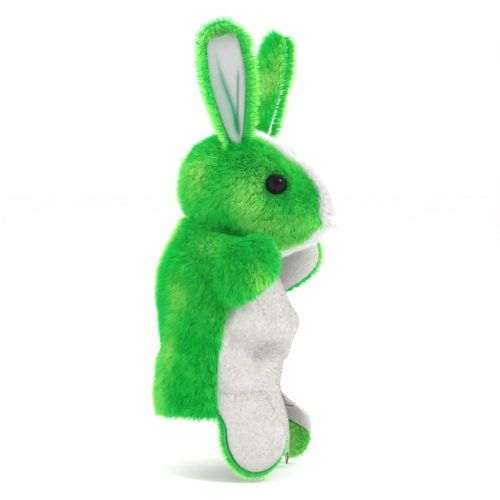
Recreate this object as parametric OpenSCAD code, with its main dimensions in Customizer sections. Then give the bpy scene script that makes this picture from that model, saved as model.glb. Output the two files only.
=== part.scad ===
// Rabbit glove puppet with a moving mouth, worn on one hand.
// Frame: x to the puppet's left, -y is the way it faces, z up.
// The origin is the middle of the hand opening, level with its lowest hem.

/* [Fabric] */
// Thickness of the long green plush with its pile pressed down
plush_t = 3; // [2:0.5:4]
// Thickness of the short white velboa
velboa_t = 2; // [1.5:0.25:2.5]
// Thickness of the satin that lines the ears
satin_t = 1; // [0.8:0.1:1.2]
// Thickness of the felt inside the mouth
felt_t = 1; // [0.8:0.1:1.1]

/* [Head] */
// Furthest back point of the head
head_back = -28; // [-30:1:-26]
// Length of the head from back to nose
head_length = 112.5; // [111:0.5:114]
// Half the width of the white blaze where it is widest
blaze_half = 10; // [8:1:12]
// Half the width of the white strip under the chin
chin_half = 8; // [6:0.5:9]
// Height of the head's neck edge
head_edge_z = 181; // [180:0.5:182]

/* [Mouth] */
// How far forward the mouth folds
jaw_pivot_f = 44; // [43:0.5:45]
// Height of the mouth fold
jaw_pivot_z = 176; // [175:0.5:177]
// Upward slope of the closed mouth, in degrees
mouth_slope = 7.3; // [6:0.1:8]
// Gap between the two lips of the closed mouth
lip_gap = 1.2; // [1:0.1:1.6]
// Thickness of each stiff mouth plate
plate_t = 1.5; // [1:0.25:1.75]
// Height of the tunnel that holds the fingers
finger_pocket_h = 14; // [11:1:15]
// Height of the tunnel that holds the thumb
thumb_pocket_h = 7.5; // [6:0.5:7.5]

/* [Eyes] */
// Diameter of the eye dome
eye_d = 14; // [12:0.5:15]
// How far forward the eyes sit
eye_f = 51.5; // [50:0.5:54]
// Height of the eyes
eye_z = 209; // [206:0.5:211]
// Radius of the eye's post
post_r = 2.4; // [2:0.1:2.6]

/* [Ears] */
// Length of an ear above its fold
ear_length = 79; // [70:1:80]
// Half the width of an ear's skin at its widest
ear_half = 17; // [15:0.5:18]
// How far each ear leans outwards, in degrees
ear_lean = 23; // [18:1:25]
// How far each ear's lining turns forwards from sideways, in degrees
ear_turn = 34; // [25:1:45]

/* [Body] */
// Height of the lower edge of the back
back_hem_z = 47; // [42:1:48]
// Height of the neck edge of the body
body_top_z = 170; // [169:0.5:170.5]
// Outer radius of the fabric tube inside the neck
neck_r = 18.5; // [17.5:0.5:19]

/* [Arms] */
// Distance of each arm's fold from the middle
arm_x = 45.5; // [45:0.5:47]
// Distance of each arm's fold in front of the origin
arm_f = 29; // [28.5:0.5:30]
// Length of an arm in front of its fold
arm_length = 30; // [26:1:32]
// Half the height of an arm
arm_half_h = 17; // [15:0.5:18]
// Half the thickness of an arm
arm_half_t = 9.5; // [8:0.5:10]

/* [Legs] */
// Height of the fold that each leg swings on
leg_z = 58; // [56:0.5:59]
// Width of a leg behind its middle
leg_rear_w = 20; // [18:0.5:21]
// Width of a leg in front of its middle, at its widest
leg_fore_w = 23; // [21:0.5:24]
// Half the thickness of a leg
leg_half_t = 6; // [5:0.5:6.5]
// Height of the lowest point of a leg's white side
leg_toe_z = 10; // [9:0.5:12]

/* [Hidden] */

RIGHT = -1;
LEFT = 1;
GREEN = "limegreen";
WHITE = "whitesmoke";
FIBRE = "ivory";
round_fn = 48;
clear = 0.2; // between layers of fabric
fill_gap = 0.7; // between a skin and its stuffing
leg_fill_gap = 1.3; // the same in a leg, whose toe is more curved
seam_gap = 0.5; // degrees left for a seam in the head

// Head outline: forward, [centre height, half width, rise above, drop below]
head_keys = [
    [head_back, [207, 41, 39, 39]],
    [15, [207, 41, 39, 39]],
    [40, [204, 36, 34, 44]],
    [52, [200, 31, 29, 37.8]],
    [64, [195, 26, 28, 28.3]],
    [74, [190, 22.5, 24, 19.5]],
    [80, [187.5, 21, 22, 17.5]],
    [head_back + head_length, [186, 20, 20, 16]]];
head_round_back = 15; // behind this the head closes as a ball
head_round_front = 66; // in front of this the muzzle closes
blaze_f = 22; // where the blaze's point starts on the forehead
blaze_keys = [[blaze_f, 0.5], [32, 7.5], [50, 9], [72, blaze_half], [head_back + head_length, blaze_half]];

// Lower edge of the head's side panels: the neck edge, then the upper lip
head_edge_keys = [[head_back, head_edge_z], [34, head_edge_z],
    [jaw_pivot_f, mouth_z(jaw_pivot_f) + lip_gap / 2],
    [head_back + head_length, mouth_z(head_back + head_length) + lip_gap / 2]];

// Body outline: height, [centre forward, front depth, back depth, half width]
body_keys = [
    [18, [2, 48, 45, 45]],
    [40, [2, 46, 46, 47]],
    [60, [2, 40.5, 47.5, 47.5]],
    [88, [2, 40.5, 44, 47]],
    [106, [2, 49, 43.5, 46.5]],
    [122, [2, 47, 44.5, 45.5]],
    [138, [2, 41, 45.5, 44]],
    [150, [2, 35, 44.5, 42]],
    [161, [3, 27, 41.5, 35.5]],
    [body_top_z, [5, 22, 29.5, 26.5]]];
// Side seam, as an angle from straight ahead
seam_keys = [[0, 72], [105, 72], [125, 64], [150, 48], [body_top_z, 46]];
belly_hem_z = 66; // lower edge of the belly above the legs
crotch_z = 26; // lower edge of the belly between the legs
crotch_angle = [26, 34]; // where the lower edge starts and ends its rise
hem_arch = 0.0135; // how strongly the front edge of the opening arches, per square degree

ear_base = [28, 21, 245];
ear_foot = -3; // where an ear's skin starts, under its fold
ear_keys = [[ear_foot, 9.5], [8, 12], [35, 16.5], [50, ear_half], [66, ear_half - 1.5],
    [ear_length, ear_half - 3]];
ear_round = 15; // length of an ear's rounded tip
ear_cup = 0.011; // how strongly an ear curls, per mm of half width
leg_centre = [36, 38];
leg_fore_keys = [[0, leg_fore_w], [28, leg_fore_w], [42, leg_fore_w - 3], [60, leg_fore_w - 9]];
leg_turn = 62; // how far a leg's white side turns from facing ahead
leg_flare = 5; // how far a toe stands out from the fold

// ---- helpers ----
// A point from left, forward and up
function P(x, f, z) = [x, -f, z];

function span(t, k, i = 0) = i >= len(k) - 2 || t <= k[i + 1][0] ? i : span(t, k, i + 1);
function rate(k, i) =
    let (a = max(i - 1, 0), b = min(i + 1, len(k) - 1))
    (k[b][1] - k[a][1]) / (k[b][0] - k[a][0]);
// Smooth curve through keys [place, value]
function along(t, k) =
    let (i = span(t, k), h = k[i + 1][0] - k[i][0])
    let (s = max(0, min(1, (t - k[i][0]) / h)))
    (2 * s^3 - 3 * s^2 + 1) * k[i][1] + (s^3 - 2 * s^2 + s) * h * rate(k, i)
    + (3 * s^2 - 2 * s^3) * k[i + 1][1] + (s^3 - s^2) * h * rate(k, i + 1);
function ramp(t, lo, hi) = let (s = max(0, min(1, (t - lo) / (hi - lo)))) s * s * (3 - 2 * s);
function eased(t) = (1 - cos(180 * t)) / 2;
function bulge(d, r) = sqrt(max(0.00001, 1 - (d / r)^2));
function steps(lo, hi, n) = [for (i = [0 : n]) lo + (hi - lo) * i / n];
ring_steps = steps(0, 345, 23); // a full turn in 24 equal steps
function cross_unit(a, b) = let (c = cross(a, b)) c / norm(c);

// A closed sheet between two grids of points
module panel(outer, inner, flip = false) {
    rows = len(outer);
    cols = len(outer[0]);
    n = rows * cols;
    skin = [for (i = [0 : rows - 2], j = [0 : cols - 2])
        let (a = i * cols + j, b = a + cols)
        each [[a, b, b + 1], [a, b + 1, a + 1], [n + a, n + b + 1, n + b], [n + a, n + a + 1, n + b + 1]]];
    ends = [for (j = [0 : cols - 2])
        let (a = j, b = (rows - 1) * cols + j)
        each [[a, a + 1, n + a + 1], [a, n + a + 1, n + a], [b + 1, b, n + b], [b + 1, n + b, n + b + 1]]];
    sides = [for (i = [0 : rows - 2])
        let (a = i * cols, b = a + cols - 1)
        each [[a, n + a, n + a + cols], [a, n + a + cols, a + cols],
            [b, b + cols, n + b + cols], [b, n + b + cols, n + b]]];
    faces = concat(skin, ends, sides);
    polyhedron([each each outer, each each inner],
        flip ? [for (t = faces) [t[2], t[1], t[0]]] : faces, 4);
}

// A closed solid through a list of rings
module loft(rings, flip = false) {
    n = len(rings[0]);
    m = len(rings);
    skin = [for (i = [0 : m - 2], j = [0 : n - 1])
        let (a = i * n + j, b = i * n + (j + 1) % n)
        each [[a, a + n, b + n], [a, b + n, b]]];
    caps = [[for (j = [0 : n - 1]) j], [for (j = [n - 1 : -1 : 0]) (m - 1) * n + j]];
    faces = concat(skin, caps);
    polyhedron([each each rings],
        flip ? [for (t = faces) [for (k = [len(t) - 1 : -1 : 0]) t[k]]] : faces, 4);
}

// ---- head ----
function mouth_z(f) = jaw_pivot_z + (f - jaw_pivot_f) * tan(mouth_slope);
function head_f(t) = head_back + head_length * eased(t);
function head_t(f) = acos(1 - 2 * (f - head_back) / head_length) / 180;
function head_cap(f) = f < head_round_back ? bulge(head_round_back - f, head_round_back - head_back)
    : f > head_round_front ? bulge(f - head_round_front, head_back + head_length - head_round_front) : 1;
// A point of the head's skin, inset towards its middle; a = 0 is the side, 90 the top
function head_pt(f, a, side, inset) =
    let (k = along(f, head_keys), c = head_cap(f), mid = head_back + head_length / 2)
    P(side * (k[1] - inset) * c * cos(a),
        mid + (f - mid) * (1 - 2 * inset / head_length),
        k[0] + ((sin(a) > 0 ? k[2] : k[3]) - inset) * c * sin(a));
function angle_at(f, z) =
    let (k = along(f, head_keys), d = z - k[0])
    asin(max(-1, min(1, d / ((d > 0 ? k[2] : k[3]) * head_cap(f)))));
function blaze_angle(f) = f < blaze_f ? 0
    : asin(min(0.98, along(f, blaze_keys) / (along(f, head_keys)[1] * head_cap(f))));
function head_rows(f0, f1, n) = [for (t = steps(head_t(f0), head_t(f1), n)) head_f(t)];
// Lower edge of the blaze, which widens to the lip at the nose
lip_margin = 3; // degrees of green left beside the lip
function upper_lip(f) = angle_at(f, along(f, head_edge_keys));
function mix(a, b, w) = a * (1 - w) + b * w;
function blaze_low(f) = mix(90 - blaze_angle(f), upper_lip(f) + lip_margin, ramp(f, 76, 81.5));
head_tip = head_back + head_length - 0.01;
side_front = 81.5; // where the green sides end
side_rows = head_rows(head_back + 0.01, head_tip, 28);

module head_side(side) {
    rows = [for (f = side_rows) if (f < side_front) f];
    grid = [for (f = rows) steps(upper_lip(f), blaze_low(f), 11)];
    color(GREEN)
        panel([for (i = [0 : len(rows) - 1]) [for (a = grid[i]) head_pt(rows[i], a, side, 0)]],
            [for (i = [0 : len(rows) - 1]) [for (a = grid[i]) head_pt(rows[i], a, side, plush_t)]],
            side < 0);
}

module blaze() {
    rows = [for (f = side_rows) if (f > blaze_f) f];
    grid = [for (f = rows) steps(blaze_low(f) + seam_gap, 180 - blaze_low(f) - seam_gap, 10)];
    color(WHITE)
        panel([for (i = [0 : len(rows) - 1]) [for (a = grid[i]) head_pt(rows[i], a, LEFT, 0)]],
            [for (i = [0 : len(rows) - 1]) [for (a = grid[i]) head_pt(rows[i], a, LEFT, plush_t)]]);
}

module head_stuffing() {
    depth = 10;
    rows = head_rows(-24, 42, 9);
    color(FIBRE)
        panel([for (f = rows) [for (a = steps(5, 175, 14)) head_pt(f, a, LEFT, plush_t + fill_gap)]],
            [for (f = rows) [for (a = steps(5, 175, 14)) head_pt(f, a, LEFT, plush_t + depth)]]);
}

module muzzle_stuffing() {
    lift = felt_t + plate_t + lip_gap;
    color(FIBRE)
        loft([for (f = [71.8, 73.5, 76, 78, 79.5])
            let (low = angle_at(f, mouth_z(f) + lift) + 8)
            [for (a = steps(low, 180 - low, 12)) head_pt(f, a, LEFT, plush_t + fill_gap)]]);
}

// ---- mouth ----
// Half the room across the mouth inside the skin, measured on the mouth's own plane
function mouth_half(f) =
    let (k = along(f, head_keys), c = head_cap(f), d = k[0] - mouth_z(f) - lip_gap)
    (k[1] - plush_t) * c * bulge(d, (k[3] - plush_t) * c);

// A flat piece that fills the mouth's outline between two heights over its plane
module mouth_slab(low, high, back, front, margin) {
    fs = steps(jaw_pivot_f + back, front, 12);
    half = [for (f = fs) [mouth_half(f) - margin, -(f - jaw_pivot_f) / cos(mouth_slope)]];
    outline = concat(half, [for (i = [len(half) - 1 : -1 : 0]) [-half[i][0], half[i][1]]]);
    translate(P(0, jaw_pivot_f, jaw_pivot_z))
        rotate([-mouth_slope, 0, 0])
            translate([0, 0, low])
                linear_extrude(high - low)
                    polygon(outline);
}

// A flat-based fabric tunnel on the mouth plane; up is 1 above it and -1 below
module tunnel(base, half_w, height, wall, start, length, up) {
    arc = steps(0, 180, 20);
    outer = [for (a = arc) [half_w * cos(a), height * sin(a)]];
    inner = [for (a = arc) [(half_w - wall) * cos(180 - a), max(wall, (height - wall) * sin(180 - a))]];
    translate(P(0, jaw_pivot_f, jaw_pivot_z))
        rotate([-mouth_slope, 0, 0])
            translate([0, -start, up * base])
                rotate([90, 0, 0])
                    linear_extrude(length)
                        scale([1, up])
                            difference() {
                                polygon(outer);
                                polygon(inner);
                            }
}

plate_low = lip_gap / 2 + felt_t + clear;
module upper_mouth_lining() {
    color("crimson") mouth_slab(lip_gap / 2, lip_gap / 2 + felt_t, 2, 79.5, 1.2);
}
module upper_mouth_plate() {
    color("tan") mouth_slab(plate_low, plate_low + plate_t, 3, 78.5, 2);
}
module lower_mouth_lining() {
    color("crimson") mouth_slab(-lip_gap / 2 - felt_t, -lip_gap / 2, 2, 76, 3);
}
module lower_mouth_plate() {
    color("tan") mouth_slab(-plate_low - plate_t, -plate_low, 3, 72.5, 4.8);
}
module finger_pocket() {
    color("gainsboro") tunnel(plate_low + plate_t + clear, 16.5, finger_pocket_h, 1, 4, 22, 1);
}
module thumb_pocket() {
    color("gainsboro") tunnel(plate_low + plate_t + clear, 10.5, thumb_pocket_h, 0.8, 3, 10, -1);
}

// The lower lip, in front of the fold, and the white strip under the chin
jaw_front = 82.6; // how far forward the lower lip reaches
jaw_side_front = 79.4; // where the green sides of the lip end
function lip_angle(f) = angle_at(f, mouth_z(f) - lip_gap / 2);
function chin_angle(f) = mix(asin(min(0.98, chin_half / (along(f, head_keys)[1] * head_cap(f)))) - 90,
    lip_angle(f) - lip_margin, ramp(f, 72, 79));
jaw_rows = head_rows(jaw_pivot_f + 1.5, jaw_front, 13);

// Part of the lower lip between two lists of angles, one pair for each row
module lip(rows, from, to, cols, side, flip, shade) {
    color(shade)
        panel([for (i = [0 : len(rows) - 1]) [for (a = steps(from[i], to[i], cols))
                head_pt(rows[i], a, side, 0)]],
            [for (i = [0 : len(rows) - 1]) [for (a = steps(from[i], to[i], cols))
                head_pt(rows[i], a, side, velboa_t)]], flip);
}

module jaw_side(side) {
    rows = [for (f = jaw_rows) if (f < jaw_side_front) f];
    lip(rows, [for (f = rows) lip_angle(f)], [for (f = rows) chin_angle(f) + seam_gap], 6, side, side > 0,
        GREEN);
}
module chin() {
    lip(jaw_rows, [for (f = jaw_rows) chin_angle(f)], [for (f = jaw_rows) -180 - chin_angle(f)], 8, LEFT,
        true, WHITE);
}

// ---- eyes ----
eye_tilt = 15; // how far an eye looks up
eye_swing = 24; // how far an eye looks forward from sideways
module at_eye(side) {
    a = angle_at(eye_f, eye_z);
    translate(head_pt(eye_f, a, side, 0))
        rotate([0, 0, side > 0 ? -eye_swing : 180 + eye_swing])
            rotate([0, 90 - eye_tilt, 0])
                children();
}

module eye(side) {
    r = eye_d / 2;
    collar = r + 0.5;
    dome = [for (a = steps(90, 0, 12)) [r * cos(a), 1.4 + 5.6 * sin(a)]];
    color("black")
        at_eye(side) {
            rotate_extrude($fn = round_fn)
                polygon(concat(dome, [[collar, 1.4], [collar, 0.3], [0, 0.3]]));
            translate([0, 0, -11])
                cylinder(h = 11.5, r = post_r, $fn = round_fn);
        }
}

module eye_washers() {
    color("gainsboro")
        for (side = [RIGHT, LEFT])
            at_eye(side)
                translate([0, 0, -plush_t - 3.4])
                    difference() {
                        cylinder(h = 1.2, r = 7, $fn = round_fn);
                        translate([0, 0, -1])
                            cylinder(h = 4, r = post_r + 0.05, $fn = round_fn);
                    }
}

// ---- ears ----
function ear_up(side) = [side * sin(ear_lean), 0, cos(ear_lean)];
function ear_across(side) = cross_unit(ear_up(side), P(side * cos(ear_turn), sin(ear_turn), 0));
// A point h up an ear, x across it, and d out from its lined face
function ear_pt(side, h, x, d) =
    let (up = ear_up(side), w = ear_across(side), n = cross(w, up))
    P(side * ear_base[0], ear_base[1], ear_base[2]) + up * h + w * x + n * (d + ear_cup * x * x);
function ear_wide(h) =
    along(h, ear_keys) * (h > ear_length - ear_round ? bulge(h - ear_length + ear_round, ear_round) : 1);
ear_rows = [for (t = steps(0, 1, 18)) ear_foot + (ear_length - 0.1 - ear_foot) * sin(90 * t)];

module ear_back(side) {
    color(GREEN)
        panel([for (h = ear_rows) [for (u = steps(-1, 1, 10)) ear_pt(side, h, u * ear_wide(h), -plush_t)]],
            [for (h = ear_rows) [for (u = steps(-1, 1, 10)) ear_pt(side, h, u * ear_wide(h), 0)]],
            true);
}

module ear_lining(side) {
    rim = 2.5; // of plush left showing round the lining
    rows = [for (h = ear_rows) if (h > -2 && ear_wide(h) > rim + 1) h];
    color("silver")
        panel([for (h = rows) [for (u = steps(-1, 1, 10))
                ear_pt(side, h, u * (ear_wide(h) - rim), clear / 2)]],
            [for (h = rows) [for (u = steps(-1, 1, 10))
                ear_pt(side, h, u * (ear_wide(h) - rim), clear / 2 + satin_t)]],
            true);
}

// ---- body ----
// A point of the body's skin; a = 0 is straight ahead and grows to the left
function body_pt(z, a, inset) =
    let (k = along(z, body_keys), deep = cos(a) > 0 ? k[1] : k[2])
    P((k[3] - inset) * sin(a), k[0] + (deep - inset) * cos(a), z);
function seam(z) = along(z, seam_keys);
function belly_low(a) =
    mix(crotch_z - hem_arch * a * a, belly_hem_z, ramp(abs(a), crotch_angle[0], crotch_angle[1]));
belly_split = 0.25; // share of the belly's rows that lie below its even part
function belly_z(u, a) = let (low = belly_low(a), mid = belly_hem_z + 4)
    u < belly_split ? low + (mid - low) * u / belly_split
    : mid + (body_top_z - mid) * (u - belly_split) / (1 - belly_split);

module back_panel() {
    rows = steps(back_hem_z, body_top_z, 17);
    grid = [for (z = rows) steps(seam(z), 360 - seam(z), 26)];
    color(GREEN)
        panel([for (i = [0 : 17]) [for (a = grid[i]) body_pt(rows[i], a, 0)]],
            [for (i = [0 : 17]) [for (a = grid[i]) body_pt(rows[i], a, plush_t)]], false);
}

module belly_panel() {
    us = steps(-1, 1, 24);
    rows = steps(0, 1, 20);
    color(WHITE)
        panel([for (v = rows) [for (u = us)
                let (z = belly_z(v, u * seam(0))) body_pt(z, u * seam(z), 0)]],
            [for (v = rows) [for (u = us)
                let (z = belly_z(v, u * seam(0))) body_pt(z, u * seam(z), velboa_t)]], false);
}

// Overlocked seam allowance along the front of the opening
module front_hem() {
    half = 36; // degrees either side of the middle
    inset = velboa_t + 0.5;
    function hem_z(a, v) = 18 + v * 8 - hem_arch * a * a;
    color("darkseagreen")
        panel([for (v = [0, 0.5, 1]) [for (a = steps(-half, half, 18))
                let (p = body_pt(30, a, inset)) [p[0], p[1], hem_z(a, v)]]],
            [for (v = [0, 0.5, 1]) [for (a = steps(-half, half, 18))
                let (p = body_pt(30, a, inset + 1.5)) [p[0], p[1], hem_z(a, v)]]], false);
}

module neck_sleeve() {
    neck_f = 6;
    low = 158;
    high = 183;
    color("gainsboro")
        translate(P(0, neck_f, low))
            difference() {
                cylinder(h = high - low, r = neck_r, $fn = round_fn);
                translate([0, 0, -1])
                    cylinder(h = high - low + 2, r = neck_r - 1, $fn = round_fn);
            }
}

// ---- arms ----
arm_tip_r = 16; // length of the rounded tip
arm_rise = 6; // how far the tip stands above the fold
function arm_span(t) = arm_f - arm_half_t + (arm_length + arm_half_t) * eased(t);
function arm_pt(t, a, side, inset) =
    let (f = arm_span(t), tip = arm_f + arm_length)
    let (end = f > tip - arm_tip_r ? bulge(f - tip + arm_tip_r, arm_tip_r) : 1)
    let (base = f < arm_f ? bulge(arm_f - f, arm_half_t) : 1)
    let (mid = arm_f + (arm_length - arm_half_t) / 2, half = (arm_length + arm_half_t) / 2)
    let (tall = 0.85 + 0.15 * ramp(f, arm_f - arm_half_t, arm_f + 4))
    P(side * (arm_x + (arm_half_t - inset) * base * end * cos(a)),
        mid + (f - mid) * (1 - inset / half),
        arm_z + arm_rise * ramp(f, arm_f, tip) + (arm_half_h - inset) * end * tall * sin(a));
arm_z = 151;
arm_ts = steps(0.01, 0.99, 12);

module arm_skin(side, from, to, thick, shade) {
    color(shade)
        panel([for (t = arm_ts) [for (a = steps(from, to, 8)) arm_pt(t, a, side, 0)]],
            [for (t = arm_ts) [for (a = steps(from, to, 8)) arm_pt(t, a, side, thick)]], side < 0);
}
module arm_outer(side) {
    arm_skin(side, -90, 90, plush_t, GREEN);
}
module arm_inner(side) {
    arm_skin(side, 90, 270, velboa_t, WHITE);
}
module arm_stuffing(side) {
    color(FIBRE)
        loft([for (t = steps(0.08, 0.95, 9))
            [for (a = ring_steps) arm_pt(t, a, side, plush_t + fill_gap)]], side < 0);
}

// ---- legs ----
leg_round = 28; // height of a toe's rounded end
function leg_out(side) = P(side * sin(leg_turn), cos(leg_turn), 0);
function leg_across(side) = P(-side * cos(leg_turn), sin(leg_turn), 0);
function leg_low(edge) = leg_toe_z - edge;
// A point of a leg; a = 0 is its front edge and 90 the middle of its white side
function leg_pt(t, a, side, inset, edge) =
    let (top = leg_z + leg_half_t, low = leg_low(edge), z = top - (top - low) * eased(t))
    let (foot = z < low + leg_round ? bulge(low + leg_round - z, leg_round) : 1)
    let (fold = z > leg_z ? bulge(z - leg_z, leg_half_t) : 1)
    let (drop = ramp(leg_z - z, 0, leg_z))
    P(side * leg_centre[0], leg_centre[1], 0)
    + leg_across(side) * ((cos(a) > 0 ? along(z, leg_fore_keys) : leg_rear_w + edge) - inset) * foot * cos(a)
    + leg_out(side) * ((leg_half_t - inset) * foot * fold * sin(a) + leg_flare * drop)
    + [0, 0, z + (inset * cos(180 * t) * -1)];
leg_ts = steps(0.01, 0.99, 12);

// How far the white side wraps round the front edge
function leg_wrap(t) = 110 * (1 - ramp(t, 0.42, 0.68));

module leg_skin(side, grid, thick, edge, shade) {
    n = len(leg_ts) - 1;
    color(shade)
        panel([for (i = [0 : n]) [for (a = grid[i]) leg_pt(leg_ts[i], a, side, 0, edge)]],
            [for (i = [0 : n]) [for (a = grid[i]) leg_pt(leg_ts[i], a, side, thick, edge)]], side > 0);
}
module leg_front(side) {
    leg_skin(side, [for (t = leg_ts) steps(-leg_wrap(t), 180, 18)], velboa_t, 0, WHITE);
}
module leg_back(side) {
    leg_skin(side, [for (t = leg_ts) steps(180, 360 - leg_wrap(t) - seam_gap, 10)], velboa_t, 3, GREEN);
}
module leg_stuffing(side) {
    color(FIBRE)
        loft([for (t = steps(0.1, 0.9, 11))
            [for (a = ring_steps) leg_pt(t, a, side, velboa_t + leg_fill_gap, 0)]], side > 0);
}

back_panel();
belly_panel();
front_hem();
neck_sleeve();
head_side(RIGHT);  // head_right
head_side(LEFT);  // head_left
blaze();
head_stuffing();
muzzle_stuffing();
upper_mouth_plate();
upper_mouth_lining();
finger_pocket();
eye(RIGHT);  // eye_right
eye(LEFT);  // eye_left
eye_washers();
jaw_side(RIGHT);  // jaw_right
jaw_side(LEFT);  // jaw_left
chin();
lower_mouth_plate();
lower_mouth_lining();
thumb_pocket();
ear_back(RIGHT);  // ear_back_right
ear_back(LEFT);  // ear_back_left
ear_lining(RIGHT);  // ear_lining_right
ear_lining(LEFT);  // ear_lining_left
arm_outer(RIGHT);  // arm_outer_right
arm_outer(LEFT);  // arm_outer_left
arm_inner(RIGHT);  // arm_inner_right
arm_inner(LEFT);  // arm_inner_left
arm_stuffing(RIGHT);  // arm_stuffing_right
arm_stuffing(LEFT);  // arm_stuffing_left
leg_front(RIGHT);  // leg_front_right
leg_front(LEFT);  // leg_front_left
leg_back(RIGHT);  // leg_back_right
leg_back(LEFT);  // leg_back_left
leg_stuffing(RIGHT);  // leg_stuffing_right
leg_stuffing(LEFT);  // leg_stuffing_left
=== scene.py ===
import math

import bpy
import numpy as np
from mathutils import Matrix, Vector


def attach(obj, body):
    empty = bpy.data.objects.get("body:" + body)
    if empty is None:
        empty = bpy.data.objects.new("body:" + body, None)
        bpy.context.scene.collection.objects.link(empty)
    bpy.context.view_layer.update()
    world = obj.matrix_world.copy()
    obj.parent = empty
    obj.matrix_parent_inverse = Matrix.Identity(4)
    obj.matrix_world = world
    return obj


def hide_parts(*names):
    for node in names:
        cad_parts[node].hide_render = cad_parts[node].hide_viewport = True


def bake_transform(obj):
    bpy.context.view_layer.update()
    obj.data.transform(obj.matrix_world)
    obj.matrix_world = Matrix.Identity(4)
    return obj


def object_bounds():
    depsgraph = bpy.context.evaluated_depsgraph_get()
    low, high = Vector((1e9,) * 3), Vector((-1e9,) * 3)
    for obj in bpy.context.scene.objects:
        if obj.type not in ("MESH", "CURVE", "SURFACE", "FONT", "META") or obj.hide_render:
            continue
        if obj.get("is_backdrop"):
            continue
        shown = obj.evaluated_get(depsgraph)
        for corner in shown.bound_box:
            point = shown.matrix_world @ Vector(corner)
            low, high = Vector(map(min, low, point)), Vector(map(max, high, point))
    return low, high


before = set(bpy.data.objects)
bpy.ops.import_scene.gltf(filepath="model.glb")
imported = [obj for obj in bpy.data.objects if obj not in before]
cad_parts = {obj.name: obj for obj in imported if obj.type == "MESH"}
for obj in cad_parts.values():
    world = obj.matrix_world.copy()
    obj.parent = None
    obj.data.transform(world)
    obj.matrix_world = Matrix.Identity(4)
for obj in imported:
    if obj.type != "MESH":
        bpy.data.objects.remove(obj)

# Shapes are worked out in millimetres as (x, forward, z) and turned into metres with -y forward.
MM = 0.001
RIGHT, LEFT = -1, 1
SIDES = {"right": RIGHT, "left": LEFT}
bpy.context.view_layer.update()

# ---- the camera and the cloth's driving sizes ----
camera_place = (-1.0253, -0.3947, 0.2189)
camera_target = (0.0069, -0.0190, 0.1613)
camera_lens = 110

pile_inset = 2.0  # the plush's backing lies this far inside the solid's outside
backing_t = 1.6

# ---- shape: the rules of the solids, with a wider chin, a shorter hem and fuller arms ----
head_back, head_length = -28.0, 112.5
head_round_back, head_round_front = 15.0, 66.0
head_mid = head_back + head_length / 2
jaw_pivot_f, jaw_pivot_z, mouth_slope, lip_gap = 44.0, 176.0, 7.3, 1.2
eye_f, eye_z = 51.5, 209.0
eye_clear = 7.1  # no fibre grows nearer to the eye than this
ear_base = np.array([28.0, 21.0, 245.0])
ear_length, ear_lean, ear_turn, ear_cup, ear_round = 79.0, 23.0, 34.0, 0.011, 15.0
arm_x, arm_f, arm_length, arm_z, arm_rise = 45.5, 29.0, 30.0, 151.0, 6.0
hem_arch, hem_half_angle = 0.0135, 30
arm_half_h, arm_half_t, arm_tip_r = 17.0, 9.5, 16.0
leg_z, leg_toe_z, leg_rear_w = 58.0, 10.0, 20.0
leg_turn, leg_flare, leg_round = 62.0, 5.0, 28.0
leg_centre = (36.0, 38.0)

head_keys = [
    (head_back, (207, 41, 39, 39)), (15, (207, 41, 39, 39)), (40, (204, 36, 34, 44)),
    (52, (200, 31, 29, 37.8)), (64, (195, 26, 28, 28.3)), (74, (190, 22.5, 24, 19.5)),
    (80, (187.5, 21, 22, 17.5)), (84.5, (186, 20, 20, 16))]
blaze_f, chin_half = 22.0, 11.0
blaze_keys = [(22, 0.5), (32, 7.5), (50, 9), (72, 10), (84.5, 10)]
head_edge_keys = [(-28, 181), (34, 181), (44, 176.6), (84.5, 181.8)]
body_keys = [
    (18, (2, 48, 45, 45)), (40, (2, 46, 46, 47)), (60, (2, 40.5, 47.5, 47.5)),
    (88, (2, 40.5, 44, 47)), (106, (2, 49, 43.5, 46.5)), (122, (2, 47, 44.5, 45.5)),
    (138, (2, 41, 45.5, 44)), (150, (2, 35, 44.5, 42)), (161, (3, 30, 42.5, 38.5)),
    (170, (5, 26, 37, 34.5)), (178, (6, 25, 34, 31)), (184, (6, 24, 31, 28))]
seam_keys = [(0, 72), (105, 72), (125, 64), (150, 48), (184, 46)]
ear_keys = [(-16, 6), (-3, 9.5), (8, 12), (35, 16.5), (50, 17), (66, 15.5), (79, 14)]
leg_fore_keys = [(0, 23), (28, 23), (42, 20), (60, 14), (70, 12)]


def along(t, keys):
    """Smooth curves through keys (place, value or values)."""
    t = np.asarray(t, float)
    x = np.array([k[0] for k in keys], float)
    y = np.array([np.atleast_1d(k[1]) for k in keys], float)
    last = len(x) - 1
    i = np.clip(np.searchsorted(x, t) - 1, 0, last - 1)
    before, after = np.maximum(np.arange(last + 1) - 1, 0), np.minimum(np.arange(last + 1) + 1, last)
    rate = (y[after] - y[before]) / (x[after] - x[before])[:, None]
    h = (x[i + 1] - x[i])[..., None]
    s = np.clip((t - x[i])[..., None] / h, 0, 1)
    out = ((2 * s**3 - 3 * s**2 + 1) * y[i] + (s**3 - 2 * s**2 + s) * h * rate[i]
           + (3 * s**2 - 2 * s**3) * y[i + 1] + (s**3 - s**2) * h * rate[i + 1])
    return out[..., 0] if y.shape[1] == 1 else out


def ramp(t, lo, hi):
    """A smooth step from 0 at lo to 1 at hi."""
    s = np.clip((np.asarray(t, float) - lo) / (hi - lo), 0, 1)
    return s * s * (3 - 2 * s)


def bulge(d, r):
    """A quarter round that falls from 1 to about 0 as d goes from 0 to r."""
    return np.sqrt(np.maximum(1e-5, 1 - (np.maximum(d, 0) / r) ** 2))


def cosd(a):
    return np.cos(np.radians(a))


def sind(a):
    return np.sin(np.radians(a))


def stack(*parts):
    return np.stack(np.broadcast_arrays(*parts), -1)


def unit(v):
    """Vectors scaled to length one."""
    return v / np.maximum(np.linalg.norm(v, axis=-1, keepdims=True), 1e-9)


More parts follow.
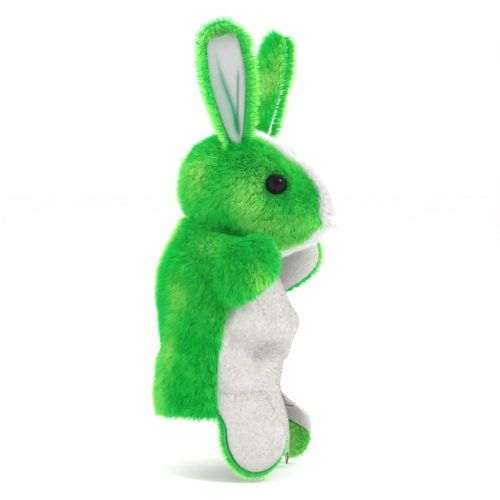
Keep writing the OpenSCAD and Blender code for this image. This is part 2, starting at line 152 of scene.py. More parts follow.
def wobble(p, size, seed, waves=7):
    """Smooth noise from about -1 to 1 that changes over about size millimetres."""
    rng = np.random.default_rng(seed)
    k = unit(rng.normal(size=(waves, 3))) * (2 * math.pi / size) * rng.uniform(0.6, 1.5, (waves, 1))
    return np.sin(p @ k.T + rng.uniform(0, 2 * math.pi, waves)).sum(-1) / math.sqrt(waves) / 1.1


def wobble3(p, size, seed):
    return np.stack([wobble(p, size, seed + i) for i in range(3)], -1)


# ---- head ----
def mouth_z(f):
    """Height of the closed mouth's middle plane."""
    return jaw_pivot_z + (f - jaw_pivot_f) * math.tan(math.radians(mouth_slope))


def head_cap(f):
    """How much the head narrows towards its back and its nose."""
    return bulge(head_round_back - f, head_round_back - head_back) * bulge(
        f - head_round_front, head_back + head_length - head_round_front)


def head_pt(f, a, side, inset):
    """A point of the head: a = 0 is the side and 90 the top."""
    k, c = along(f, head_keys), head_cap(f)
    up = np.where(sind(a) > 0, k[..., 2], k[..., 3])
    return stack(side * (k[..., 1] - inset) * c * cosd(a),
                 head_mid + (f - head_mid) * (1 - 2 * inset / head_length),
                 k[..., 0] + (up - inset) * c * sind(a))


def angle_at(f, z):
    """The angle of the head's skin at a height."""
    k, c = along(f, head_keys), head_cap(f)
    d = z - k[..., 0]
    return np.degrees(np.arcsin(np.clip(d / (np.where(d > 0, k[..., 2], k[..., 3]) * c), -1, 1)))


def blaze_angle(f):
    wide = along(np.maximum(f, blaze_f), blaze_keys) / (along(f, head_keys)[..., 1] * head_cap(f))
    return np.where(f < blaze_f, 0, np.degrees(np.arcsin(np.minimum(0.98, wide))))


def mix(a, b, w):
    """a where w is 0 and b where w is 1."""
    return a * (1 - w) + b * w


def blaze_low(f):
    """The blaze's lower edge, which widens to the lip at the nose."""
    return mix(90 - blaze_angle(f), angle_at(f, along(f, head_edge_keys)) + 3, ramp(f, 76, 81.5))


def chin_angle(f):
    wide = np.minimum(0.98, chin_half / (along(f, head_keys)[..., 1] * head_cap(f)))
    return mix(np.degrees(np.arcsin(wide)) - 90, angle_at(f, mouth_z(f) - lip_gap / 2) - 3, ramp(f, 66, 79))


def head_f(t):
    return head_back + head_length * (1 - np.cos(np.pi * t)) / 2


def head_t(f):
    return np.arccos(1 - 2 * (f - head_back) / head_length) / np.pi


def head_rows(f0, f1, n):
    """Rows along the head, closer together at its round ends."""
    return head_f(np.linspace(head_t(f0), head_t(f1), n))


def head_grid(rows, low, high, cols, side, inset):
    """A grid of the head's skin between two angles, which may change from row to row."""
    u = np.linspace(0, 1, cols)
    a = low[:, None] + (high - low)[:, None] * u
    return head_pt(np.broadcast_to(rows[:, None], a.shape), a, side, inset)


# ---- body ----
def body_pt(z, a, inset):
    """A point of the body: a = 0 is straight ahead and grows to the left."""
    k = along(z, body_keys)
    deep = np.where(cosd(a) > 0, k[..., 1], k[..., 2])
    return stack((k[..., 3] - inset) * sind(a), k[..., 0] + (deep - inset) * cosd(a), z)


def seam(z):
    """The angle of the side seam at a height."""
    return along(z, seam_keys)


# ---- ears ----
def ear_frame(side):
    up = np.array([side * sind(ear_lean), 0, cosd(ear_lean)])
    w = unit(np.cross(up, [side * cosd(ear_turn), -sind(ear_turn), 0]))
    return up, w, np.cross(w, up)


def ear_pt(side, h, x, d):
    """A point h up an ear, x across it, and d out from its lined face."""
    up, w, n = (v * np.array([1, -1, 1]) for v in ear_frame(side))
    h, x, d = (np.asarray(v, float)[..., None] for v in np.broadcast_arrays(h, x, d))
    base = ear_base * np.array([side, 1, 1])
    return base + up * h + w * x + n * (d + ear_cup * x * x)


def ear_wide(h):
    """Half the ear's width h up it."""
    return along(h, ear_keys) * bulge(h - ear_length + ear_round, ear_round)


# ---- arms and legs ----
arm_root_f = -8.0  # where an arm grows out of the shoulder


def arm_pt(f, a, side, inset):
    """A point of an arm: a = 0 is its outside, 180 its inside. Its root merges with the shoulder."""
    tip = arm_f + arm_length
    end = bulge(f - tip + arm_tip_r, arm_tip_r)
    grow = ramp(f, arm_root_f, arm_f + 2)
    body = along(arm_z, body_keys)[3] * np.sqrt(np.maximum(0, 1 - (np.minimum(f - 2, 30) / 35) ** 2))
    outside = body + (arm_x + arm_half_t - body) * grow
    half_t = (arm_half_t - inset) * end
    middle = outside - arm_half_t
    extra = np.where(sind(a) > 0, 3, 10 * (1 - ramp(f, 12, 54)))
    half_h = (arm_half_h + 5 * (1 - grow) + extra - inset) * end * (0.85 + 0.15 * grow)
    mid_f = arm_f + arm_length / 2
    return stack(side * (middle + half_t * cosd(a)), mid_f + (f - mid_f) * (1 - inset / 26),
                 arm_z + 2 * (1 - grow) + arm_rise * ramp(f, arm_f, tip) + half_h * sind(a))


def leg_pt(t, a, side, inset, edge, tuck):
    """A point of a leg: a = 0 is its front edge, 90 the middle of its white side, 270 its green side.
    Its top runs up inside the belly cloth, tuck millimetres under it."""
    top, low = leg_z + 12, leg_toe_z - edge
    z = top - (top - low) * (1 - np.cos(np.pi * t)) / 2
    foot = bulge(low + leg_round - z, leg_round)
    drop = ramp(leg_z - z, 0, leg_z)
    out = np.array([side * sind(leg_turn), cosd(leg_turn), 0])
    across = np.array([-side * cosd(leg_turn), sind(leg_turn), 0])
    wide = np.where(cosd(a) > 0, along(z, leg_fore_keys), leg_rear_w + edge * ramp(56 - z, 0, 16)) - inset
    thick = np.where(sind(a) > 0, 7.5, 6.0) - inset
    base = np.array([side * leg_centre[0], leg_centre[1], 0])
    spread = (wide * foot * cosd(a))[..., None] * across
    stand = (thick * foot * sind(a) + leg_flare * drop)[..., None] * out
    lobe = base + spread + stand + stack(0 * z, 0 * z, z - inset * np.cos(np.pi * t))
    under = body_pt(z, side * (46 - 30 * cosd(a)), tuck + 3.0 * ramp(z, 59, 70))
    return mix(lobe, under, ramp(z, 38, 60)[..., None])


def leg_wrap(t):
    """How far the white side wraps round the leg's front edge."""
    return 110 * (1 - ramp(t, 0.45, 0.68))


# ---- materials ----
def srgb(r, g, b):
    """Linear colour from the 0 to 255 values that a screen shows."""
    c = np.array([r, g, b]) / 255
    return (*np.where(c < 0.04045, c / 12.92, ((c + 0.055) / 1.055) ** 2.4).tolist(), 1.0)


def material(name, **sockets):
    m = bpy.data.materials.new(name)
    m.use_nodes = True
    shader = m.node_tree.nodes["Principled BSDF"]
    for socket, value in sockets.items():
        shader.inputs[socket.replace("_", " ")].default_value = value
    return m, m.node_tree, shader


def pile(name, colour, glow):
    """One shade of plush fibre: a constant colour, part of which passes through the fibre."""
    m, tree, shader = material(name, Base_Color=colour, Roughness=0.62)
    shader.inputs["Sheen Weight"].default_value = 0.25
    shader.inputs["Sheen Roughness"].default_value = 0.4
    shader.inputs["Specular IOR Level"].default_value = 0.25
    through = tree.nodes.new("ShaderNodeBsdfTranslucent")
    through.inputs["Color"].default_value = glow
    both = tree.nodes.new("ShaderNodeMixShader")
    both.inputs[0].default_value = 0.5
    tree.links.new(shader.outputs[0], both.inputs[1])
    tree.links.new(through.outputs[0], both.inputs[2])
    tree.links.new(both.outputs[0], tree.nodes["Material Output"].inputs["Surface"])
    return m


def noise_colour(tree, shader, low, high, scale, detail=4.0, distort=0.0):
    """Varies the base colour between two colours with noise in the object's own space, and gives its node."""
    place = tree.nodes.new("ShaderNodeTexCoord")
    noise = tree.nodes.new("ShaderNodeTexNoise")
    noise.inputs["Scale"].default_value = scale
    noise.inputs["Detail"].default_value = detail
    noise.inputs["Distortion"].default_value = distort
    shade = tree.nodes.new("ShaderNodeMix")
    shade.data_type = "RGBA"
    shade.inputs[6].default_value = low
    shade.inputs[7].default_value = high
    tree.links.new(place.outputs["Object"], noise.inputs["Vector"])
    tree.links.new(noise.outputs["Fac"], shade.inputs[0])
    tree.links.new(shade.outputs[2], shader.inputs["Base Color"])
    return shade


def bump(tree, shader, height, strength, distance):
    node = tree.nodes.new("ShaderNodeBump")
    node.inputs["Strength"].default_value = strength
    node.inputs["Distance"].default_value = distance
    tree.links.new(height, node.inputs["Height"])
    tree.links.new(node.outputs[0], shader.inputs["Normal"])


def noise_height(tree, scale, detail=3.0):
    place = tree.nodes.new("ShaderNodeTexCoord")
    noise = tree.nodes.new("ShaderNodeTexNoise")
    noise.inputs["Scale"].default_value = scale
    noise.inputs["Detail"].default_value = detail
    tree.links.new(place.outputs["Object"], noise.inputs["Vector"])
    return noise.outputs["Fac"]


def weave_height(tree, pitch):
    """Two crossed sets of threads, pitch metres apart."""
    place = tree.nodes.new("ShaderNodeTexCoord")
    total = tree.nodes.new("ShaderNodeMath")
    total.operation = "MULTIPLY"
    for i, direction in enumerate(("X", "Z")):
        wave = tree.nodes.new("ShaderNodeTexWave")
        wave.bands_direction = direction
        wave.inputs["Scale"].default_value = 0.314 / pitch
        wave.inputs["Distortion"].default_value = 0.6
        tree.links.new(place.outputs["Object"], wave.inputs["Vector"])
        tree.links.new(wave.outputs["Fac"], total.inputs[i])
    return total.outputs[0]


def backing_material():
    m, tree, shader = material("plush_backing", Roughness=0.9)
    noise_colour(tree, shader, srgb(20, 170, 75), srgb(60, 200, 95), 260)
    bump(tree, shader, weave_height(tree, 0.0008), 0.5, 0.0003)
    return m


def velboa_material(name, low, high):
    """Short white pile: a soft sheen over fine grain, a little warmer in patches."""
    m, tree, shader = material(name, Roughness=0.85)
    shader.inputs["Sheen Weight"].default_value = 0.6
    shader.inputs["Sheen Roughness"].default_value = 0.35
    shader.inputs["Specular IOR Level"].default_value = 0.2
    noise_colour(tree, shader, low, high, 55, 6.0)
    bump(tree, shader, noise_height(tree, 1500, 2.0), 0.45, 0.0006)
    return m


def satin_material():
    """Thin satin over green plush: grey-white, with painted shade, tinted green, in the pinched fold valleys.
    """
    m, tree, shader = material("ear_satin_cloth", Roughness=0.5)
    shader.inputs["Sheen Weight"].default_value = 0.2
    shader.inputs["Anisotropic"].default_value = 0.5
    shade = noise_colour(tree, shader, srgb(164, 166, 167), srgb(176, 177, 179), 40)
    # The fold attribute mixes in painted shade: dark teal along the fold valleys.
    fold = tree.nodes.new("ShaderNodeAttribute")
    fold.attribute_name = "fold"
    fold_shade = tree.nodes.new("ShaderNodeMix")
    fold_shade.data_type = "RGBA"
    fold_shade.inputs[7].default_value = srgb(20, 150, 100)
    tree.links.new(shade.outputs[2], fold_shade.inputs[6])
    tree.links.new(fold.outputs["Fac"], fold_shade.inputs[0])
    tree.links.new(fold_shade.outputs[2], shader.inputs["Base Color"])
    bump(tree, shader, weave_height(tree, 0.0005), 0.25, 0.0002)
    return m


def cloth_material(name, low, high, pitch, roughness=0.85):
    m, tree, shader = material(name, Roughness=roughness)
    noise_colour(tree, shader, low, high, 120)
    bump(tree, shader, weave_height(tree, pitch), 0.6, 0.0004)
    return m


def felt_material():
    m, tree, shader = material("mouth_felt_cloth", Roughness=0.95)
    shader.inputs["Sheen Weight"].default_value = 0.4
    noise_colour(tree, shader, srgb(150, 22, 34), srgb(190, 40, 52), 900, 6.0, 1.5)
    bump(tree, shader, noise_height(tree, 1800, 5.0), 0.6, 0.0005)
    return m


def board_material():
    m, tree, shader = material("mouth_board_card", Roughness=0.8)
    noise_colour(tree, shader, srgb(178, 146, 104), srgb(206, 178, 136), 420, 8.0, 2.0)
    bump(tree, shader, noise_height(tree, 900, 6.0), 0.3, 0.0003)
    return m


def fibre_material():
    m, tree, shader = material("stuffing_fibre", Roughness=0.9)
    noise_colour(tree, shader, srgb(224, 222, 214), srgb(250, 249, 244), 500, 8.0, 3.0)
    bump(tree, shader, noise_height(tree, 700, 8.0), 1.0, 0.0012)
    return m


def eye_material(name, low, high):
    """Polished black plastic with a dark cast in places."""
    m, tree, shader = material(name, Roughness=0.1)
    shader.inputs["Specular IOR Level"].default_value = 0.12
    noise_colour(tree, shader, low, high, 300, 5.0)
    return m


def washer_material():
    m, tree, shader = material("washer_nylon", Roughness=0.45)
    shader.inputs["Subsurface Weight"].default_value = 0.2
    noise_colour(tree, shader, srgb(228, 227, 220), srgb(240, 239, 234), 60)
    bump(tree, shader, noise_height(tree, 500), 0.15, 0.0002)
    return m


def thread_material(name, low, high):
    m, tree, shader = material(name, Roughness=0.6)
    noise_colour(tree, shader, low, high, 600)
    bump(tree, shader, noise_height(tree, 2500), 0.5, 0.0001)
    return m


# Each list runs from shaded to lit pile: a fibre's foot takes the first, its tip the second
green_root = [pile("green_root_%d" % i, srgb(*c), srgb(*g)) for i, (c, g) in enumerate([
    ((4, 210, 100), (20, 232, 104)), ((16, 218, 104), (48, 238, 108)), ((76, 226, 110), (110, 242, 116))])]
green_tip = [pile("green_tip_%d" % i, srgb(*c), srgb(*g)) for i, (c, g) in enumerate([
    ((4, 212, 102), (40, 240, 104)), ((24, 220, 106), (84, 244, 108)), ((92, 230, 116), (150, 248, 122)),
    ((142, 238, 130), (196, 252, 138)), ((182, 245, 154), (218, 253, 160))])]
white_root = [pile("white_root_%d" % i, srgb(*c), srgb(*c)) for i, c in enumerate([
    (248, 246, 247), (250, 249, 250)])]
white_tip = [pile("white_tip_%d" % i, srgb(*c), srgb(*c)) for i, c in enumerate([
    (250, 249, 250), (253, 252, 253), (255, 254, 255)])]
nap = [pile("velboa_nap_%d" % i, srgb(*c), srgb(*c)) for i, c in enumerate([
    (198, 195, 192), (202, 200, 197), (206, 204, 202)])]
PILES = {"green": (green_root, green_tip), "white": (white_root, white_tip), "nap": (nap, nap)}
backing = backing_material()
velboa = velboa_material("white_velboa_pile", srgb(196, 193, 190), srgb(203, 201, 198))
satin = satin_material()
lining = cloth_material("lining_knit", srgb(216, 215, 208), srgb(230, 229, 224), 0.0011)
hem_cloth = cloth_material("hem_edge_cloth", srgb(160, 186, 156), srgb(184, 204, 178), 0.0008)
felt, board, stuffing = felt_material(), board_material(), fibre_material()
eye_gloss = eye_material("eye_gloss", srgb(5, 5, 7), srgb(15, 14, 15))
eye_iris = eye_material("eye_iris", srgb(12, 10, 13), srgb(22, 18, 22))
eye_pupil = eye_material("eye_pupil", srgb(4, 5, 10), srgb(9, 11, 20))
washer = washer_material()
green_thread = thread_material("thread_green", srgb(120, 176, 120), srgb(158, 204, 150))
dark_thread = thread_material("thread_dark", srgb(70, 92, 80), srgb(96, 122, 104))


# ---- meshes ----
def to_metres(p):
    """Metres in the part's frame from (x, forward, z) in millimetres."""
    return np.asarray(p, float).reshape(-1, 3) * np.array([MM, -MM, MM])


def add_piece(name, body, points, loops, starts, materials, index=None):
    """A new piece from points in millimetres and faces as flat arrays."""
    mesh = bpy.data.meshes.new(name)
    mesh.vertices.add(len(points))
    mesh.vertices.foreach_set("co", to_metres(points).astype(np.float32).ravel())
    mesh.loops.add(len(loops))
    mesh.loops.foreach_set("vertex_index", np.asarray(loops, np.int32))
    mesh.polygons.add(len(starts))
    mesh.polygons.foreach_set("loop_start", np.asarray(starts, np.int32))
    for m in materials:
        mesh.materials.append(m)
    if index is not None:
        mesh.polygons.foreach_set("material_index", np.asarray(index, np.int32))
    mesh.polygons.foreach_set("use_smooth", np.full(len(starts), True))
    mesh.update(calc_edges=True)
    piece = bpy.data.objects.new(name, mesh)
    bpy.context.scene.collection.objects.link(piece)
    if isinstance(body, str):
        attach(piece, body)
    else:
        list(body[:2])
        tuple(to_metres(body[2])[0])
        tuple(to_metres(body[3])[0])
        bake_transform(piece)
    return piece


def grid_quads(rows, cols, close=False):
    """Quads of a rows by cols grid of points; close joins the last column to the first."""
    i, j = np.meshgrid(np.arange(rows - 1), np.arange(cols if close else cols - 1), indexing="ij")
    a, b = i * cols + j, i * cols + (j + 1) % cols
    return np.stack([a, b, b + cols, a + cols], -1).reshape(-1, 4)


def grid_normals(p):
    """Unit normals of a grid of points."""
    return unit(np.cross(np.gradient(p, axis=0), np.gradient(p, axis=1)))


def facing(p, n, centre):
    """Normals turned to point away from a centre."""
    away = (n * (p - centre)).sum(-1, keepdims=True)
    return np.where(away < 0, -n, n)


def shell(name, body, p, thick, materials, normals):
    """A closed skin: the grid p, and a second one thick millimetres behind it, against its normals."""
    rows, cols = p.shape[:2]
    quads = grid_quads(rows, cols)
    inner = p - normals * thick
    n = rows * cols
    turned = quads[:, ::-1]
    edge = []
    for i, flip in ((0, False), (rows - 1, True)):
        for j in range(cols - 1):
            a, b = i * cols + j, i * cols + j + 1
            edge.append((b, a, a + n, b + n) if not flip else (a, b, b + n, a + n))
    for j, flip in ((0, True), (cols - 1, False)):
        for i in range(rows - 1):
            a, b = i * cols + j, (i + 1) * cols + j
            edge.append((b, a, a + n, b + n) if not flip else (a, b, b + n, a + n))
    faces = np.concatenate([quads, turned + n, np.array(edge)])
    index = np.concatenate([np.zeros(len(quads)), np.full(len(quads), len(materials) - 1),
                            np.full(len(edge), len(materials) - 1)])
    points = np.concatenate([p.reshape(-1, 3), inner.reshape(-1, 3)])
    return add_piece(name, body, points, faces.ravel(), np.arange(len(faces)) * 4, materials, index)


# ---- pile ----
def hashed(cells, salt):
    """Three numbers from 0 to 1 for each whole-number cell."""
    k = np.array([[127.1, 311.7, 74.7], [269.5, 183.3, 246.1], [113.5, 271.9, 124.6]]) + salt
    return np.modf(np.abs(np.sin(cells @ k.T) * 43758.5453))[0]


def tufts(p, size, salt):
    """The centre of the tuft that each point belongs to, and a number from 0 to 1 for the tuft."""
    cell = np.floor(p / size)
    best, centre, mark = np.full(len(p), 1e9), np.zeros_like(p), np.zeros(len(p))
    for shift in np.ndindex(3, 3, 3):
        near = cell + np.array(shift) - 1
        h = hashed(near, salt)
        c = (near + 0.15 + 0.7 * h) * size
        d = ((c - p) ** 2).sum(-1)
        closer = d < best
        best = np.where(closer, d, best)
        centre[closer], mark[closer] = c[closer], h[closer, 0]
    return centre, mark


def scatter(grids, spacing, seed):
    """Points spread evenly over grids of (points, normals), about spacing millimetres apart."""
    rng = np.random.default_rng(seed)
    out = []
    for p, n in grids:
        q = grid_quads(*p.shape[:2])
        p, n = p.reshape(-1, 3), n.reshape(-1, 3)
        tri = np.concatenate([q[:, [0, 1, 2]], q[:, [0, 2, 3]]])
        area = np.linalg.norm(np.cross(p[tri[:, 1]] - p[tri[:, 0]], p[tri[:, 2]] - p[tri[:, 0]]), axis=1) / 2
        count = int(area.sum() / spacing**2)
        pick = rng.choice(len(tri), count, p=area / area.sum())
        b = rng.random((count, 2))
        b = np.where(b.sum(1, keepdims=True) > 1, 1 - b, b)
        w = np.stack([1 - b.sum(1), b[:, 0], b[:, 1]], 1)[..., None]
        out.append((np.sum(p[tri[pick]] * w, 1), unit(np.sum(n[tri[pick]] * w, 1))))
    return np.concatenate([o[0] for o in out]), np.concatenate([o[1] for o in out])


def fur(name, body, grids, kind="green", spacing=0.55, length=8.5, width=0.36, lean=0.9, flow=None,
        tone=None, tuft=5.5, pull=0.26, seed=1, keep=None, scale=None):
    """Plush pile: one tapered fibre of two faces at each point, combed along flow and gathered in tufts."""
    rng = np.random.default_rng(seed)
    p, n = scatter(grids, spacing, seed)
    if keep is not None:
        held = keep(p)
        p, n = p[held], n[held]
    count = len(p)
    comb = flow(p, n) if flow else np.tile([0, 0, -1.0], (count, 1))
    comb = unit(comb - n * (comb * n).sum(-1, keepdims=True))
    comb = unit(comb + 0.45 * wobble3(p, 26, seed) + 0.35 * rng.normal(size=(count, 3)))
    comb = comb - n * (comb * n).sum(-1, keepdims=True)
    centre, mark = tufts(p + 1.2 * wobble3(p, 9, seed + 5), tuft, seed)
    gather = centre - p
    gather = gather - n * (gather * n).sum(-1, keepdims=True)
    reach = length * rng.uniform(0.8, 1.12, count) * (0.9 + 0.2 * mark)
    if scale is not None:
        reach = reach * scale(p)
    tilt = lean * (0.8 + 0.35 * wobble(p, 18, seed + 9) + 0.12 * rng.normal(size=count))
    tilt = np.clip(tilt, 0.15, 1.6)[:, None]
    r = reach[:, None]
    middle = p + unit(n + 0.55 * tilt * comb) * r * 0.52
    tip = middle + unit(n + 1.35 * tilt * comb + np.array([0, 0, -0.18])) * r * 0.5 + gather * pull
    middle = middle + gather * pull * 0.35
    across = unit(np.cross(tip - p, unit(rng.normal(size=(count, 3))))) * width / 2
    points = np.stack([p - across, p + across, middle - across * 0.85, middle + across * 0.85, tip], 1)
    first = np.arange(count)[:, None] * 5
    lower = first + np.array([0, 1, 3, 2])
    upper = first + np.array([2, 3, 4])
    loops = np.concatenate([lower, upper], 1).ravel()
    starts = (np.arange(count)[:, None] * 7 + np.array([0, 4])).ravel()
    roots, tips = PILES[kind]
    patch = wobble(p, 44, 3)
    shade = 0.33 + 0.28 * patch * np.abs(patch) + 0.16 * (mark - 0.5) + 0.12 * rng.normal(size=count)
    # tone lifts fibres to lighter shades; on the head, the back, the arms and the ear rims this is painted
    # light
    if tone is not None:
        shade = shade + tone(p, n)
    low = np.clip((shade * len(roots)).astype(int), 0, len(roots) - 1)
    high = np.clip((shade * len(tips)).astype(int), 0, len(tips) - 1) + len(roots)
    index = np.stack([low, high], 1).ravel()
    return add_piece(name, body, points.reshape(-1, 3), loops, starts, roots + tips, index)


def nap_fur(name, body, grid, seed):
    """The short, close nap of the velboa."""
    fur(name, body, [grid], kind="nap", spacing=0.8, length=0.85, width=0.24, lean=1.0,
        tuft=12.0, pull=0.0, seed=seed)


def grid_with_normals(p, centre):
    """A grid and its normals, which point away from the centre."""
    return p, facing(p, grid_normals(p), centre)


# ---- head pieces ----
neck_blend = ("body", "head", (0, 0, 158), (0, 0, 182))


def axis_centre(p):
    """The head's own middle line beside each point, so that normals turn away from it."""
    k = along(np.clip(p[..., 1], head_back, 84.5), head_keys)
    c = p.copy()
    c[..., 0] = 0
    c[..., 1] = np.clip(p[..., 1], 10, 62)
    c[..., 2] = k[..., 0]
    return c


def head_flow(p, n):
    """Head pile is brushed back from the nose and down towards the neck."""
    back = np.stack([0 * p[:, 0], -0.55 + 0 * p[:, 0], -0.8 + 0 * p[:, 0]], -1)
    return back + 0.5 * wobble3(p, 40, 71)


def eye_distance(p):
    """How far each point is from the nearer eye."""
    spot = head_pt(np.array(eye_f), angle_at(np.array(eye_f), eye_z), LEFT, pile_inset)
    return np.linalg.norm(np.stack([np.abs(p[:, 0]), p[:, 1], p[:, 2]], -1) - spot, axis=1)


def eye_gap(p):
    """False for fibres that would grow through the eye."""
    return eye_distance(p) > eye_clear


def head_short(p):
    """Pile is shorter round the eyes and beside the blaze."""
    beside = 0.6 + 0.4 * np.maximum(ramp(np.abs(p[:, 0]), 10, 18), ramp(195 - p[:, 2], 0, 8))
    return (0.42 + 0.58 * ramp(eye_distance(p), 7, 15)) * beside


def head_painted_light(p, n):
    """Painted light: lighter pile at the back, on the cheek's lower edge, beside the blaze and round the
    ear's foot, where light catches the head.
    """
    back = 0.3 * ramp(-p[:, 1], 0, 30)
    cheek = 0.34 * ramp(205 - p[:, 2], 0, 25) * ramp(p[:, 1], 20, 40)
    edge = 0.3 * ramp(14 - np.abs(p[:, 0]), 0, 6) * ramp(p[:, 1], 20, 30)
    brow = 0.22 * ramp(p[:, 2], 222, 238) * ramp(p[:, 1], 20, 40)
    return back + cheek + edge + brow - 0.02


def head_pieces():
    rows = head_rows(head_back + 0.05, 81.5, 60)
    low = angle_at(rows, along(rows, head_edge_keys))
    for name, side in SIDES.items():
        p = head_grid(rows, low, blaze_low(rows), 34, side, pile_inset + 0.6)
        grid = grid_with_normals(p, axis_centre(p))
        skin = shell("head_plush_" + name, "head", p, backing_t, [backing, lining], grid[1])
        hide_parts("head_" + name)
        fur("head_pile_" + name, "head", [grid], flow=head_flow, keep=eye_gap,
            scale=head_short, tone=head_painted_light, seed=20 + side)
    rows = head_rows(blaze_f, 84.498, 64)
    p = head_grid(rows, blaze_low(rows), 180 - blaze_low(rows), 24, LEFT, pile_inset + 0.4)
    grid = grid_with_normals(p, axis_centre(p))
    skin = shell("blaze_plush", "head", p, backing_t, [white_root[0], lining], grid[1])
    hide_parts("blaze")
    fur("blaze_pile", "head", [grid], kind="white", spacing=0.5, length=6.4, lean=0.9,
        flow=lambda p, n: np.tile([0, -0.6, -0.5], (len(p), 1)), tuft=4.0, seed=31)


def jaw_pieces():
    rows = head_rows(jaw_pivot_f + 1.5, 82.6, 34)
    lip = angle_at(rows, mouth_z(rows) - lip_gap / 2)
    chin = chin_angle(rows)
    side_rows = rows < 79.4
    for name, side in SIDES.items():
        p = head_grid(rows[side_rows], chin[side_rows], lip[side_rows], 12, side, pile_inset + 0.4)
        grid = grid_with_normals(p, axis_centre(p))
        skin = shell("jaw_plush_" + name, "jaw", p, backing_t, [backing, lining], grid[1])
        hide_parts("jaw_" + name)
        fur("jaw_pile_" + name, "jaw", [grid], length=7.0, lean=0.8, tone=lambda p, n: 0.15,
            flow=lambda p, n: np.tile([0, -0.6, -0.8], (len(p), 1)), seed=44 + side)
    p = head_grid(rows, -180 - chin, chin, 20, LEFT, pile_inset + 0.4)
    grid = grid_with_normals(p, axis_centre(p))
    skin = shell("chin_plush", "jaw", p, backing_t, [white_root[0], lining], grid[1])
    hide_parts("chin")
    fur("chin_pile", "jaw", [grid], kind="white", spacing=0.6, length=6.5, lean=0.6,
        flow=lambda p, n: np.tile([0, -0.7, -0.5], (len(p), 1)), tuft=4.0, seed=47)


def throat_pieces():
    """Fabric from the neck's front to the back of the chin."""
    rows = head_rows(20, jaw_pivot_f + 2.5, 22)
    low = np.full(len(rows), -90.0)
    high = angle_at(rows, np.minimum(along(rows, head_edge_keys), 182) + 0.5)
    zone = ("head", "jaw", (0, 33, 0), (0, 46, 0))
    for name, side in SIDES.items():
        p = head_grid(rows, low, high, 22, side, pile_inset + 0.6)
        grid = grid_with_normals(p, axis_centre(p))
        shell("throat_plush_" + name, zone, p, backing_t, [backing, lining], grid[1])
        fur("throat_pile_" + name, zone, [grid], length=7.0, tone=lambda p, n: 0.1,
            flow=lambda p, n: np.tile([0, -0.6, -0.8], (len(p), 1)), seed=51 + side,
            keep=lambda p: (p[:, 2] > 158) & (np.abs(p[:, 0]) > 10))
        fur("throat_white_" + name, zone, [grid], kind="white", length=6.0, lean=0.6,
            flow=lambda p, n: np.tile([0, -0.7, -0.5], (len(p), 1)), tuft=4.0, seed=54 + side,
            keep=lambda p: np.abs(p[:, 0]) <= 10)


# ---- body pieces ----
def body_flow(p, n):
    return np.tile([0, 0, -1.0], (len(p), 1)) + 0.35 * wobble3(p, 45, 83)


def body_painted_light(p, n):
    """Painted light: lighter pile along the back, where light grazes the fur, and a slightly darker pile
    elsewhere.
    """
    back = 0.4 * ramp(-p[:, 1], 12, 42)
    return back - 0.1


def body_pieces():
    low, high = 47.0, 183.0
    zs = np.linspace(low, high, 70)
    u = np.linspace(0, 1, 110)
    a = seam(zs)[:, None] + (360 - 2 * seam(zs))[:, None] * u
    p = body_pt(np.broadcast_to(zs[:, None], a.shape), a, pile_inset)
    axis = np.stack([0 * p[..., 0], np.full(p.shape[:2], 3.0), p[..., 2]], -1)
    grid = grid_with_normals(p, axis)
    p = p + grid[1] * (1.2 * wobble(p, 60, 7))[..., None]
    skin = shell("back_plush", neck_blend, p, backing_t, [backing, lining], grid[1])
    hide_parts("back_panel")
    for name, side in SIDES.items():
        half = (p[:, :56], grid[1][:, :56]) if side == LEFT else (p[:, 54:], grid[1][:, 54:])
        fur("back_pile_" + name, neck_blend, [half], flow=body_flow, tone=body_painted_light,
            spacing=0.58, length=8.5, seed=60 + side)


def belly_fold(a, z):
    """How far the belly cloth stands out or in at angle a and height z, in millimetres."""
    mm_per_degree = 0.78  # round the belly
    def ridge(points, wide, deep):
        d = np.full(np.broadcast(a, z).shape, 1e9)
        s = a * mm_per_degree
        for (a0, z0), (a1, z1) in zip(points, points[1:]):
            x0, x1 = a0 * mm_per_degree, a1 * mm_per_degree
            vx, vz = x1 - x0, z1 - z0
            t = np.clip(((s - x0) * vx + (z - z0) * vz) / (vx * vx + vz * vz), 0, 1)
            d = np.minimum(d, np.hypot(s - x0 - t * vx, z - z0 - t * vz))
        return deep * np.exp(-((d / wide) ** 2))
    out = 0.0
    for side, shift in ((-1, 0.0), (1, 4.0)):
        def at(*pts):
            return [(side * q[0], q[1] + shift) for q in pts]
        out = out + ridge(at((62, 97), (40, 93), (18, 88)), 8.5, -5.0)
        out = out + ridge(at((18, 88), (34, 79), (47, 70)), 8.0, -4.2)
        out = out + ridge(at((-4, 90), (20, 78), (45, 65)), 7.5, 4.0)
        out = out + ridge(at((45, 64), (37, 51), (10, 40)), 7.5, 3.2)
        out = out + ridge(at((58, 120), (30, 108), (14, 104)), 13.0, 5.0)
        out = out + ridge(at((50, 150), (34, 132), (30, 118)), 7.0, -4.0)
    return out


def belly_piece():
    """The belly cloth, seam to seam, with the slack folds of a body that a hand bends."""
    rows, cols = 150, 96
    v = np.linspace(0, 1, rows)
    u = np.linspace(-1, 1, cols)
    low_a = u * 72
    low = mix(26 - hem_arch * low_a**2, 61, ramp(np.abs(low_a), 27, 35))
    split, even = 0.3, 66.0  # the share of rows that lie below the even part, and where that starts
    z = np.where(v[:, None] < split, low + (even - low) * v[:, None] / split,
                 even + (182 - even) * (v[:, None] - split) / (1 - split))
    a = seam(z) * u[None, :]
    p = body_pt(z, a, 0.4 + 1.5 * ramp(71 - z, 0, 10) * ramp(np.abs(a), 15, 23))
    axis = np.stack([0 * z, np.full(z.shape, 3.0), z], -1)
    n = facing(p, grid_normals(p), axis)
    hold = ramp(1 - np.abs(u), 0, 0.12)[None, :] * ramp(182 - z, 4, 24) * ramp(z, 60, 84)
    p = p + n * (belly_fold(a, z) * hold + 0.3 * wobble(p, 60, 5) * hold)[..., None]
    n = facing(p, grid_normals(p), axis)
    piece = shell("belly_velboa", neck_blend, p, 1.4, [velboa, lining], n)
    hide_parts("belly_panel")
    nap_fur("belly_pile", neck_blend, (p, n), 90)


# ---- arms ----
def arm_zone(name):
    """The stretch of an arm between the body and the arm."""
    return "body", "arm_" + name, (0, 20, 0), (0, 40, 0)


